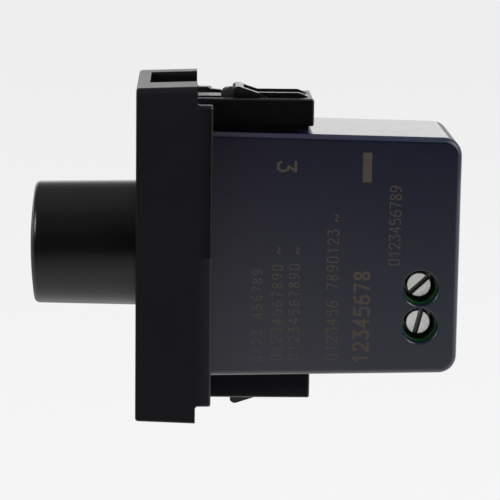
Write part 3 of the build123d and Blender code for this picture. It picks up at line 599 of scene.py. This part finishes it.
def board_lacquer(mask, laminate, tin):
    """Green lacquer over copper tracks, tinned joints round the leads, sawn glass-fibre edges."""
    f = Finish("board_lacquer")
    _, y, z = f.axes(f.place())
    face = f.smooth(abs(f.axes(f.facing())[0]), 0.7, 0.9)
    snapped = f.vector("SNAP", f.place(), (20.0, 1.27, 2.54))
    track = f.add("ShaderNodeTexWhiteNoise", sockets={"Vector": snapped}) > 0.42
    weave = f.noise(0.25, detail=3, stretch=(1.0, 1.0, 0.25)) + f.noise(0.25, detail=3, stretch=(1.0, 0.25, 1.0))
    green = f.shaded(mask, 0.62 + track * 0.38 + weave * 0.12)
    sawn = f.shaded(laminate, 0.6 + f.noise(0.12, detail=4, stretch=(4.0, 1.0, 1.0)) * 0.7)
    solder = 0.0
    for pad_y, pad_z, radius in solder_pads():
        near = ((y - pad_y) ** 2 + (z - pad_z) ** 2) ** 0.5
        solder = (1 - f.smooth(near, radius - 0.12, radius)) | solder
    solder = solder * face
    tone = f.mix(solder, f.mix(face, sawn, green), tin)
    relief = track * 0.5 * (1 - solder) + solder * 2 + weave * 0.15
    rough = 0.30 + (1 - face) * 0.4 - solder * 0.05 + (weave - 1) * 0.08
    return f.surface(tone, rough, f.bump(relief, 0.035, 0.05), Metallic=solder)


def potted_box(name, colour, foot):
    """Glossy moulded box, with the dull casting resin at its foot."""
    f = Finish(name)
    resin = 1 - f.smooth(f.axes(f.place())[0], foot, foot + 0.25)
    fine = f.noise(0.12, detail=3)
    dents = f.noise(2.5, detail=2)
    tone = f.mix(resin, f.shaded(colour, 0.90 + fine * 0.2), f.shaded(colour, 0.35 + fine * 0.3))
    return f.surface(tone, 0.22 + resin * 0.35 + (dents - 0.5) * 0.12,
                     f.bump(dents + fine * 0.05, 0.02, 0.12))


def banded_part(name, colour, middle, half_length, bands, metal):
    """Axial component along Z: lacquered body with coloured bands between tinned leads."""
    f = Finish(name)
    along = f.axes(f.place())[2] - middle
    fine = f.noise(0.14, detail=3)
    tone = f.shaded(colour, 0.9 + fine * 0.2)
    for at, half_width, band in bands:
        tone = f.mix(1 - f.smooth(abs(along - at), half_width - 0.03, half_width + 0.03), tone, band)
    lead = f.smooth(abs(along), half_length + 0.02, half_length + 0.06)
    tone = f.mix(lead, tone, f.shaded(metal, 0.8 + fine * 0.3))
    return f.surface(tone, 0.28 + lead * 0.1 + (fine - 0.5) * 0.1, f.bump(fine, 0.004, 0.2),
                     Metallic=lead)


def triac_package(colour, metal):
    """Matte epoxy body between a tinned tab and tinned leads."""
    f = Finish("triac_package")
    x, _, z = f.axes(f.place())
    low, high, back, front = -2.42, 6.42, 1.58, 6.02
    bare = (z > high) | (z < low) | (x < back) | (x > front)
    grit = f.noise(0.10, detail=3)
    lines = f.noise(0.3, detail=4, rough=0.65, stretch=(1.0, 1.0, 0.1))
    tone = f.mix(bare, f.shaded(colour, 0.7 + grit * 0.6), f.shaded(metal, 0.75 + lines * 0.4))
    relief = grit * (1 - bare) + lines * bare * 0.4
    return f.surface(tone, 0.58 - bare * 0.26 + (lines - 0.5) * 0.14,
                     f.bump(relief, 0.006, 0.06), Metallic=bare)


def sintered_ferrite(colour):
    """Sintered core: dark granular surface with fine pores."""
    f = Finish("sintered_ferrite")
    grains = f.cells(0.16)
    pores = f.smooth(f.noise(0.22, detail=2), 0.66, 0.74)
    shade = (0.7 + grains * 0.5) * (1 - pores * 0.6)
    return f.surface(f.shaded(colour, shade), 0.46 + (grains - 0.5) * 0.2,
                     f.bump(grains * 0.4 - pores, 0.02, 0.2))


def enamelled_wire(colour):
    """Copper under clear enamel, uneven in tint from turn to turn."""
    f = Finish("enamelled_wire")
    fine = f.noise(0.10, detail=3)
    tint = f.noise(1.2, detail=3)
    return f.surface(f.shaded(colour, 0.75 + tint * 0.35 + fine * 0.15), 0.24 + (tint - 0.5) * 0.12,
                     f.bump(fine, 0.003), Metallic=1.0, Coat_Weight=0.6, Coat_Roughness=0.12)


def clear_glass():
    """Fuse glass with faint smears."""
    f = Finish("clear_glass")
    smear = f.noise(1.5, detail=4, rough=0.7, stretch=(1.0, 0.3, 1.0))
    return f.surface(f.shaded((0.96, 0.98, 0.97), 0.97 + smear * 0.03), 0.02 + smear * 0.06,
                     Transmission_Weight=1.0, IOR=1.5)


def carbon_track(base, metal):
    """Brown laminate disc with its printed carbon ring and silvered ends."""
    f = Finish("carbon_track")
    x, y, z = f.axes(f.place())
    radius = (x * x + z * z) ** 0.5
    ring_radius = 4.7
    ring = (1 - f.smooth(abs(radius - ring_radius), 0.56, 0.62)) * (1 - f.smooth(y, 0.94, 0.99))
    ends = ring * (1 - f.smooth(abs(z), 1.9, 2.0)) * (x > 0.0)
    fibres = f.noise(0.3, detail=5, rough=0.7, stretch=(1.0, 1.0, 0.2))
    wiped = f.noise(0.12, detail=3)
    tone = f.mix(ring, f.shaded(base, 0.7 + fibres * 0.6), f.shaded((0.02, 0.02, 0.022), 0.7 + wiped * 0.6))
    tone = f.mix(ends, tone, metal)
    return f.surface(tone, 0.5 - ring * 0.12 + (fibres - 0.5) * 0.15,
                     f.bump(fibres, 0.005, 0.05), Metallic=ends)


# Stage

FLOOR_GLOW = 0.85
FLOOR_HALF = 3.0
FLOOR_FADE = (1.0, 2.8)
WORLD_GLOW = 0.94
LAMP_SIZE = 0.35
KEY_PLACE = (0.35, 0.60, 0.45)
FILL_PLACE = (0.35, -0.60, 0.45)
SENSOR_WIDTH = 36.0

# How bright the floor looks in reflections: less towards the room's dark end, and less in front of the object
MIRRORED_LOSS = [(0.30, 0.0), (0.36, 0.10), (0.47, 0.40), (0.62, 0.63), (0.80, 0.93)]
MIRRORED_FRONT = [(0.0, 1.0), (0.07, 0.88), (0.11, 0.66), (0.15, 0.46), (0.22, 0.32), (0.33, 0.17), (0.65, 0.2)]


def floor_material(backdrop):
    """Pale floor that fades into the backdrop and isn't seen from below."""
    f = Finish("pale_floor")
    x, y, _ = f.axes(f.add("ShaderNodeTexCoord", output="Object"))
    fade = f.smooth((x * x + y * y) ** 0.5, *FLOOR_FADE)
    path = f.add("ShaderNodeLightPath").socket.node.outputs
    glossy = Value(f, path["Is Glossy Ray"])
    seen = Value(f, path["Is Camera Ray"]) + Value(f, path["Is Transmission Ray"])
    beside = f.smooth(y, -0.035, 0.012)
    front = beside + (1 - beside) * f.ramp(abs(x), MIRRORED_FRONT)
    sheet = (1 - f.ramp(x, MIRRORED_LOSS)) * front * (1 - f.smooth(y, 0.02, 0.055) * 0.15)
    below = f.add("ShaderNodeNewGeometry", output="Backfacing")
    lit = f.add("ShaderNodeBsdfDiffuse", sockets={"Color": (*backdrop, 1.0)})
    glow = f.add("ShaderNodeEmission", sockets={"Color": f.shaded(backdrop, seen)})
    white = f.add("ShaderNodeMixShader", sockets={0: FLOOR_GLOW, 1: lit, 2: glow})
    mirrored = f.add("ShaderNodeEmission", sockets={"Color": f.shaded(backdrop, sheet)})
    floor = f.add("ShaderNodeMixShader", sockets={0: glossy, 1: white, 2: mirrored})
    clear = f.add("ShaderNodeBsdfTransparent")
    shown = f.add("ShaderNodeMixShader", sockets={0: fade | below, 1: floor, 2: clear})
    f.add("ShaderNodeOutputMaterial", sockets={"Surface": shown})
    return f.owner


def light_the_world(settings):
    """Soft dome: bright wall behind, dim room in front; the camera sees the plain backdrop."""
    scene = bpy.context.scene
    scene.world = scene.world or bpy.data.worlds.new("studio")
    f = Finish("studio", scene.world)
    x, _, z = f.axes(f.add("ShaderNodeTexCoord", output="Generated"))
    up = f.add("ShaderNodeClamp", sockets={"Value": z})
    top = settings.overhead
    behind = f.ramp(up, [(0.0, 1.0), (0.20, 1.0), (0.42, 0.28), (0.74, 0.17), (1.0, top / settings.backlight)])
    before = f.ramp(up, [(0.0, settings.horizon), (0.37, settings.horizon), (0.79, top * 0.4),
                         (0.95, top * 0.75), (1.0, top)])
    side = f.smooth(x, -0.35, 0.35)
    level = before * side + behind * settings.backlight * (1 - side)
    camera = Value(f, f.add("ShaderNodeLightPath").socket.node.outputs["Is Camera Ray"])
    strength = level * (1 - camera) + camera
    tint = f.mix(camera, (1.0, 1.0, 1.0), [WORLD_GLOW * number for number in settings.backdrop])
    glow = f.add("ShaderNodeBackground", sockets={"Color": f.shaded(tint, strength)})
    f.add("ShaderNodeOutputWorld", sockets={"Surface": glow})


def lamp(name, place, target, power):
    """Soft square lamp that points at a target and isn't seen by the camera."""
    light = bpy.data.lights.new(name, "AREA")
    light.shape = "SQUARE"
    light.size = LAMP_SIZE
    light.energy = power
    holder = bpy.data.objects.new(name, light)
    holder.location = place
    holder.rotation_euler = (Vector(place) - Vector(target)).to_track_quat("Z", "Y").to_euler()
    holder.visible_camera = False
    bpy.context.scene.collection.objects.link(holder)


class DIMMER_OT_stage(bpy.types.Operator):
    """Makes the floor, the soft studio light and the camera"""

    bl_idname = "dimmer.stage"
    bl_label = "Stage"

    def execute(self, context):
        settings = context.scene.dimmer_stage
        context.scene.view_settings.view_transform = "Standard"
        self.make_floor(settings)
        light_the_world(settings)
        lamp("key_light", KEY_PLACE, settings.camera_target, settings.key_power)
        lamp("fill_light", FILL_PLACE, settings.camera_target, settings.fill_power)
        self.make_camera(context, settings)
        return {"FINISHED"}

    def make_floor(self, settings):
        """One large face under the object."""
        half = FLOOR_HALF
        mesh = bpy.data.meshes.new("floor")
        corners = [(-half, -half), (half, -half), (half, half), (-half, half)]
        mesh.from_pydata([(x, y, 0.0) for x, y in corners], [], [(0, 1, 2, 3)])
        floor = bpy.data.objects.new("floor", mesh)
        floor.location.z = -settings.floor_drop
        bpy.context.scene.collection.objects.link(floor)
        mesh.materials.append(floor_material(settings.backdrop))

    def make_camera(self, context, settings):
        """Camera at the photograph's viewing angle."""
        pitch, yaw, roll = settings.camera_pitch, settings.camera_yaw, settings.camera_roll
        back = Vector((math.cos(pitch) * math.cos(yaw), math.cos(pitch) * math.sin(yaw), math.sin(pitch)))
        right = Vector((-math.sin(yaw), math.cos(yaw), 0.0))
        up = back.cross(right)
        turned_right = math.cos(roll) * right + math.sin(roll) * up
        turned_up = math.cos(roll) * up - math.sin(roll) * right
        data = bpy.data.cameras.new("camera")
        data.sensor_width = SENSOR_WIDTH
        data.lens = settings.camera_lens
        data.clip_start = 0.01
        data.clip_end = 10.0
        camera = bpy.data.objects.new("camera", data)
        context.scene.collection.objects.link(camera)
        turn = Matrix((turned_right, turned_up, back)).transposed().to_4x4()
        place = Vector(settings.camera_target) + settings.camera_distance * back
        camera.matrix_world = Matrix.Translation(place) @ turn
        context.scene.camera = camera


# Pieces

class DIMMER_OT_bezel(bpy.types.Operator):
    """Gives the flange, collar, arms and latches their matte black finish"""

    bl_idname = "dimmer.bezel"
    bl_label = "Front bezel and latches"

    def execute(self, context):
        plastic = context.scene.dimmer_plastic
        dress(bezel_black(plastic.bezel, plastic.bezel_roughness), "front_bezel")
        dress(latch_black(plastic.latch), "upper_latch", "lower_latch")
        return {"FINISHED"}


class DIMMER_OT_knob(bpy.types.Operator):
    """Gives the knob its satin black finish and the shaft its turned one"""

    bl_idname = "dimmer.knob"
    bl_label = "Knob and shaft"

    def execute(self, context):
        plastic = context.scene.dimmer_plastic
        dress(knob_satin(plastic.knob, plastic.knob_roughness), "knob")
        dress(turned_metal("turned_aluminium", context.scene.dimmer_metal.aluminium, 0.28), "control_shaft")
        return {"FINISHED"}


class DIMMER_OT_housing(bpy.types.Operator):
    """Gives the rear housing, the inner plate and the insulating sheet their finishes"""

    bl_idname = "dimmer.housing"
    bl_label = "Rear housing"

    def execute(self, context):
        plastic = context.scene.dimmer_plastic
        dress(housing_blue_black(plastic.housing, plastic.housing_end, plastic.housing_roughness), "rear_housing")
        dress(moulded_plastic("inner_black", plastic.inner, 0.45, flow=0.2), "inner_plate")
        dress(insulating_paper(context.scene.dimmer_board.paper), "insulating_sheet")
        return {"FINISHED"}


# Characters as lines through (across, up) points, one wide and two high
STROKES = {
    "0": [(0.2, 0), (0, 0.4), (0, 1.6), (0.2, 2), (0.8, 2), (1, 1.6), (1, 0.4), (0.8, 0), (0.2, 0)],
    "1": [(0.2, 1.6), (0.6, 2), (0.6, 0)],
    "2": [(0, 1.6), (0.25, 2), (0.8, 2), (1, 1.6), (1, 1.2), (0, 0), (1, 0)],
    "3": [(0, 2), (1, 2), (0.5, 1.2), (0.85, 1.1), (1, 0.7), (1, 0.3), (0.75, 0), (0.2, 0), (0, 0.3)],
    "4": [(0.75, 0), (0.75, 2), (0, 0.6), (1, 0.6)],
    "5": [(1, 2), (0.1, 2), (0.05, 1.15), (0.75, 1.2), (1, 0.9), (1, 0.3), (0.75, 0), (0, 0)],
    "6": [(0.9, 2), (0.3, 1.8), (0, 1), (0, 0.3), (0.25, 0), (0.8, 0), (1, 0.35), (1, 0.8), (0.8, 1.1), (0, 0.9)],
    "7": [(0, 2), (1, 2), (0.4, 0)],
    "8": [(0.5, 1.05), (0.1, 1.4), (0.15, 1.85), (0.5, 2), (0.85, 1.85), (0.9, 1.4), (0.5, 1.05), (1, 0.6),
          (0.85, 0.1), (0.5, 0), (0.15, 0.1), (0, 0.6), (0.5, 1.05)],
    "9": [(0.1, 0), (0.7, 0.2), (1, 1), (1, 1.7), (0.75, 2), (0.2, 2), (0, 1.65), (0, 1.2), (0.2, 0.9), (1, 1.1)],
    "~": [(0, 0.8), (0.15, 1.2), (0.4, 1.25), (0.7, 0.85), (0.95, 0.85), (1.1, 1.25)],
}


class DIMMER_OT_side_marks(bpy.types.Operator):
    """Draws plain numbers, waves and a bar on the housing's side in thin tan lines"""

    bl_idname = "dimmer.side_marks"
    bl_label = "Side marks"

    face_x = 9.0
    raised = 0.012
    height_step = 0.0007
    heights = 13
    bar = [(21.75, 13.85), (22.95, 13.85), (22.95, 9.9), (21.75, 9.9)]

    # Text, start, middle of the line, height and step, then stroke width and way where they differ
    lines = [
        ("0123456789", -1.1, 26.15, 1.4, 1.09),
        ("0123456 7890123", -14.0, 18.05, 1.4, 1.2),
        ("01234567890", -14.0, 13.0, 1.3, 1.22),
        ("01234567890", -14.1, 10.75, 1.3, 1.22),
        ("0123 456789", -14.3, 8.1, 1.2, 1.18),
        ("~", 4.7, 18.5, 1.5, 1.1),
        ("~", 0.3, 13.4, 1.5, 1.1),
        ("~", 0.3, 10.9, 1.5, 1.1),
        ("12345678", -14.3, 21.95, 1.9, 1.6, 0.32),
        ("3", 12.5, 11.8, 2.3, 1.4, 0.32, -1),
    ]

    def execute(self, context):
        self.built = bmesh.new()
        for line in self.lines:
            self.write(*line)
        self.slab(self.bar)
        show("side_marks", self.built, side_ink(context.scene.dimmer_plastic.marks))
        return {"FINISHED"}

    def write(self, text, start, middle, height, step, width=0.14, way=1):
        """A line of characters along Z: way 1 reads upwards and way -1 downwards."""
        size = height / 2
        for n, character in enumerate(text):
            stroke = STROKES.get(character, [])
            self.line([(middle - way * (up - 1) * size, start + way * (n * step + along * size))
                       for along, up in stroke], width)

    def line(self, points, width):
        """A raised line through (y, z) points, one short slab per run."""
        for start, end in zip(points, points[1:]):
            start, end = Vector(start), Vector(end)
            along = (end - start).normalized() * width / 2
            across = Vector((-along.y, along.x))
            start -= along
            end += along
            self.slab([start + across, end + across, end - across, start - across])

    def slab(self, corners):
        """A thin closed slab on the side face from its (y, z) corners, a little higher or lower than the last."""
        rows = []
        count = len(self.built.faces) // 6
        raised = self.raised + self.height_step * (count % self.heights)
        for x in (self.face_x - raised, self.face_x + raised):
            rows.append([self.built.verts.new((x * MM, y * MM, z * MM)) for y, z in corners])
        self.built.faces.new(rows[0])
        self.built.faces.new(rows[1])
        for n in range(len(corners)):
            after = (n + 1) % len(corners)
            self.built.faces.new((rows[0][n], rows[0][after], rows[1][after], rows[1][n]))


class DIMMER_OT_control(bpy.types.Operator):
    """Gives the rotary control's bush, nut, washer, case, track and wiper their finishes"""

    bl_idname = "dimmer.control"
    bl_label = "Rotary control"

    def execute(self, context):
        plastic = context.scene.dimmer_plastic
        metal = context.scene.dimmer_metal
        dress(threaded_brass(metal.brass), "mounting_bush")
        dress(plated_metal("zinc_nut", metal.zinc, 0.30, edge=0.12), "panel_nut")
        dress(plated_metal("spring_washer", metal.steel, 0.34, stretch=(1.0, 1.0, 0.2)), "lock_washer")
        dress(speckled_case("control_black", plastic.control, (0.10, 0.09, 0.08)), "control_case")
        dress(carbon_track(context.scene.dimmer_board.track_base, metal.tin), "track_disc")
        dress(natural_plastic(plastic.natural), "wiper_rotor", "switch_plunger")
        dress(plated_metal("phosphor_bronze", metal.brass, 0.30, mottling=0.2), "wiper_contact")
        return {"FINISHED"}


class DIMMER_OT_switch(bpy.types.Operator):
    """Gives the push switch's case and contacts their finishes, and coils its return spring"""

    bl_idname = "dimmer.switch"
    bl_label = "Push switch"

    seats = (5.82, 11.48)
    coil_radius = 2.15
    wire_radius = 0.2
    turns = 7
    travel = 1.2

    def execute(self, context):
        metal = context.scene.dimmer_metal
        grey = context.scene.dimmer_plastic.switch
        dress(speckled_case("switch_grey", grey, (0.16, 0.15, 0.14)), "switch_case")
        dress(plated_metal("contact_strip", metal.brass, 0.28, stretch=(0.2, 1.0, 1.0), mottling=0.25),
              "contact_bridge", "fixed_contacts")
        spring = show("coil_spring", self.coil(), drawn_wire(metal.steel), smooth=True)
        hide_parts("return_spring")
        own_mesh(spring)
        return {"FINISHED"}

    def coil(self):
        """Round wire coiled about the knob's axis, with a closed turn at each end."""
        steps = 28
        sides = 10
        closed = 2.1 * self.wire_radius
        first = self.seats[0] + self.wire_radius
        open_length = self.seats[1] - self.seats[0] - 2 * self.wire_radius - 2 * closed
        built = bmesh.new()
        rings = []
        for n in range(self.turns * steps + 1):
            turn = n / steps
            opened = min(max((turn - 1) / (self.turns - 2), 0), 1)
            rise = closed * (min(turn, 1) + max(turn - self.turns + 1, 0)) + open_length * opened
            angle = 2 * math.pi * turn
            ring = []
            for k in range(sides):
                round_wire = 2 * math.pi * k / sides
                reach = self.coil_radius + self.wire_radius * math.cos(round_wire)
                y = first + rise + self.wire_radius * math.sin(round_wire)
                ring.append(built.verts.new((reach * math.cos(angle) * MM, y * MM, reach * math.sin(angle) * MM)))
            rings.append(ring)
        for ring, after in zip(rings, rings[1:]):
            for k in range(sides):
                built.faces.new((ring[k - 1], ring[k], after[k], after[k - 1]))
        for ring in (rings[0], rings[-1]):
            built.faces.new(ring)
        return built


class DIMMER_OT_board(bpy.types.Operator):
    """Gives the circuit board and the components on it their finishes"""

    bl_idname = "dimmer.board"
    bl_label = "Circuit board and components"

    def execute(self, context):
        board = context.scene.dimmer_board
        tin = context.scene.dimmer_metal.tin
        brown, black, red = (0.14, 0.045, 0.015), (0.01, 0.01, 0.01), (0.45, 0.03, 0.02)
        gold, white = (0.55, 0.36, 0.08), (0.75, 0.75, 0.72)
        dress(board_lacquer(board.mask, board.laminate, tin), "circuit_board")
        dress(potted_box("yellow_box", board.film_box, -5.7), "film_capacitor")
        dress(potted_box("red_box", board.small_box, -5.98), "timing_capacitor")
        rings = [(-1.15, 0.17, brown), (-0.62, 0.17, black), (-0.09, 0.17, red), (1.15, 0.17, gold)]
        dress(banded_part("resistor_lacquer", board.lacquer, 9.6, 1.8, rings, tin), "resistors")
        dress(banded_part("diac_blue", board.diac, 10.6, 1.6, [(0.9, 0.22, white)], tin), "diac")
        dress(triac_package(board.package, tin), "triac")
        dress(plated_metal("tinned_strip", tin, 0.34, stretch=(1.0, 1.0, 0.3)), "track_pins", "terminal_leads",
              "fuse_clips")
        dress(clear_glass(), "fuse_tube")
        dress(plated_metal("bright_nickel", (0.70, 0.66, 0.58), 0.20, mottling=0.15), "fuse_caps")
        return {"FINISHED"}


class DIMMER_OT_heat_sink(bpy.types.Operator):
    """Gives the heat sink and its screw their finishes"""

    bl_idname = "dimmer.heat_sink"
    bl_label = "Heat sink"

    def execute(self, context):
        metal = context.scene.dimmer_metal
        dress(rolled_aluminium(metal.aluminium), "heat_sink")
        dress(plated_metal("zinc_screw", metal.zinc, 0.32), "heat_sink_screw")
        return {"FINISHED"}


class DIMMER_OT_choke(bpy.types.Operator):
    """Winds the choke's wire on its ferrite ring in one continuous run"""

    bl_idname = "dimmer.choke"
    bl_label = "Interference choke"

    core_x = (-5.6, -0.6)
    core_radii = (3.0, 5.0)
    centre = (19.2, 0.3)
    turns = 36
    first_angle = 40.0
    sweep = 280.0

    def execute(self, context):
        metal = context.scene.dimmer_metal
        dress(sintered_ferrite(context.scene.dimmer_board.ferrite), "choke_core")
        winding = self.wind(context, metal.wire / MM)
        winding.data.materials.append(enamelled_wire(metal.copper))
        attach(winding, "base")
        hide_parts("choke_winding")
        return {"FINISHED"}

    def wind(self, context, wire):
        """One round wire that goes round the ring's section again and again."""
        data = bpy.data.curves.new("choke_wire", "CURVE")
        data.dimensions = "3D"
        data.bevel_depth = wire / 2 * MM
        data.bevel_resolution = 3
        data.resolution_u = 3
        data.use_fill_caps = True
        spline = data.splines.new("NURBS")
        points = self.path(wire / 2 + 0.01)
        spline.points.add(len(points) - 1)
        for point, place in zip(spline.points, points):
            point.co = (*(MM * number for number in place), 1.0)
        spline.order_u = 3
        spline.use_endpoint_u = True
        coil = bpy.data.objects.new("choke_wire", data)
        context.scene.collection.objects.link(coil)
        return coil

    def path(self, stand_off):
        """Points of the wire's middle line in millimetres."""
        near, far = self.core_x[0] - stand_off, self.core_x[1] + stand_off
        low, high = self.core_radii[0] - stand_off, self.core_radii[1] + stand_off
        corner = 0.12
        section = [(near, low + corner), (near, high - corner), (near + corner, high), (far - corner, high),
                   (far, high - corner), (far, low + corner), (far - corner, low), (near + corner, low)]
        points = []
        for n in range(self.turns * len(section) + 1):
            x, reach = section[n % len(section)]
            angle = math.radians(self.first_angle + self.sweep * n / (self.turns * len(section)))
            points.append((x, self.centre[0] + reach * math.cos(angle), self.centre[1] + reach * math.sin(angle)))
        return points


class DIMMER_OT_terminals(bpy.types.Operator):
    """Gives the terminal block, its screws and its clamps their finishes"""

    bl_idname = "dimmer.terminals"
    bl_label = "Terminals"

    def execute(self, context):
        metal = context.scene.dimmer_metal
        dress(moulded_plastic("terminal_green", context.scene.dimmer_plastic.terminal, 0.32, flow=0.3),
              "terminal_block")
        # The screws' slots get painted shade.
        dress(plated_metal("bright_zinc", metal.zinc, 0.33, scratch=0.35, depth=0.006, edge=0.10, slot_painted_shade_below=6.1),
              "terminal_screw_1", "terminal_screw_2")
        dress(plated_metal("clamp_plating", metal.tin, 0.36, depth=0.004), "wire_clamp_1", "wire_clamp_2")
        return {"FINISHED"}


OPERATORS = [
    DIMMER_OT_stage, DIMMER_OT_bezel, DIMMER_OT_knob, DIMMER_OT_housing, DIMMER_OT_side_marks, DIMMER_OT_control,
    DIMMER_OT_switch, DIMMER_OT_board, DIMMER_OT_heat_sink, DIMMER_OT_choke, DIMMER_OT_terminals,
]
SETTINGS = {
    "dimmer_stage": DimmerStageSettings,
    "dimmer_plastic": DimmerPlasticSettings,
    "dimmer_board": DimmerBoardSettings,
    "dimmer_metal": DimmerMetalSettings,
}


class DIMMER_PT_pieces(bpy.types.Panel):
    """Lists the stage and the pieces with their settings"""

    bl_idname = "DIMMER_PT_pieces"
    bl_label = "Dimmer switch module"
    bl_space_type = "VIEW_3D"
    bl_region_type = "UI"
    bl_category = "Dimmer"

    def draw(self, context):
        for kind in OPERATORS:
            self.layout.operator(kind.bl_idname)
        for name, group in SETTINGS.items():
            box = self.layout.box()
            for key in group.__annotations__:
                box.prop(getattr(context.scene, name), key)


CLASSES = [*SETTINGS.values(), *OPERATORS, DIMMER_PT_pieces]


def register():
    for kind in CLASSES:
        bpy.utils.register_class(kind)
    for name, group in SETTINGS.items():
        setattr(bpy.types.Scene, name, bpy.props.PointerProperty(type=group))


def unregister():
    for name in SETTINGS:
        delattr(bpy.types.Scene, name)
    for kind in reversed(CLASSES):
        bpy.utils.unregister_class(kind)


def main():
    register()
    for kind in OPERATORS:
        getattr(bpy.ops.dimmer, kind.bl_idname.removeprefix("dimmer."))()


if __name__ == "__main__":
    main()
